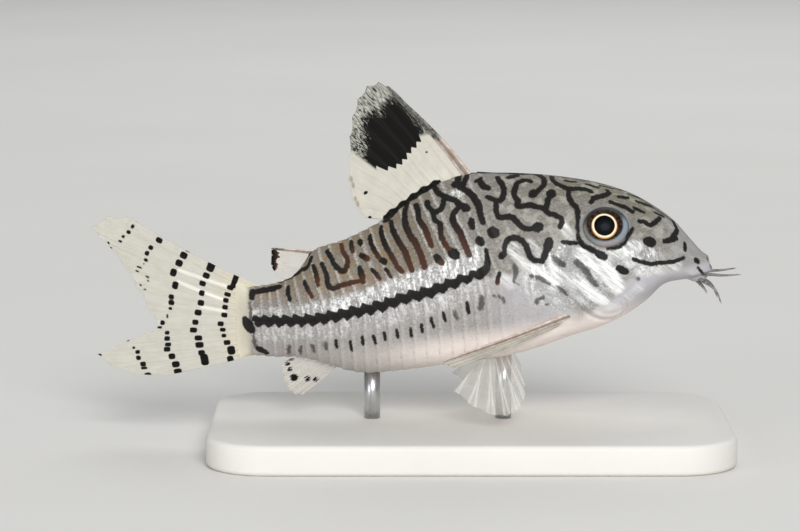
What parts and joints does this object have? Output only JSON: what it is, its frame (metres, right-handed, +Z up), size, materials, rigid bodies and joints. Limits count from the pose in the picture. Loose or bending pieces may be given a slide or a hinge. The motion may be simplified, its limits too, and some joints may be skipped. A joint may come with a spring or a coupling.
{
  "type": "corydoras catfish model on a display stand",
  "caption": "Life-size still model of a small armoured catfish with a spotted, striped flank, tall dorsal fin and forked tail fin, held over a flat base by thin rods.",
  "frame": {"origin": "centre of the stand's underside", "axes": "+X towards the head, +Y towards the fish's left flank, +Z up; the fish is pitched 10 degrees head up and its tail is bent gently up and to the left"},
  "size_m": [0.0653, 0.03, 0.0368],
  "materials": {
    "skin": "moist, plated skin, silvery grey with dark brown-black lines",
    "gill_silver": "silver-white bony plate with a pearly shine",
    "eye": "clear wet eye, gold ring round a black pupil",
    "barbel": "smooth soft skin, grey",
    "fin": "thin translucent cream membrane over bony rays, with dark spots",
    "stand_base": "satin off-white",
    "stand_rod": "satin"
  },
  "bodies": {
    "root": {"head": "skin", "torso": "skin", "tail": "skin", "gill_cover_left": "gill_silver", "gill_cover_right": "gill_silver", "eye_left": "eye", "eye_right": "eye", "barbel_upper_left": "barbel", "barbel_upper_right": "barbel", "barbel_lower_left": "barbel", "barbel_lower_right": "barbel", "barbel_chin_left": "barbel", "barbel_chin_right": "barbel", "dorsal_fin": "fin", "adipose_fin": "fin", "caudal_fin_upper": "fin", "caudal_fin_lower": "fin", "anal_fin": "fin", "pelvic_fin_left": "fin", "pelvic_fin_right": "fin", "pectoral_fin_left": "fin", "pectoral_fin_right": "fin", "stand_base": "stand_base", "stand_rod_front": "stand_rod", "stand_rod_rear": "stand_rod"}
  },
  "joints": []
}
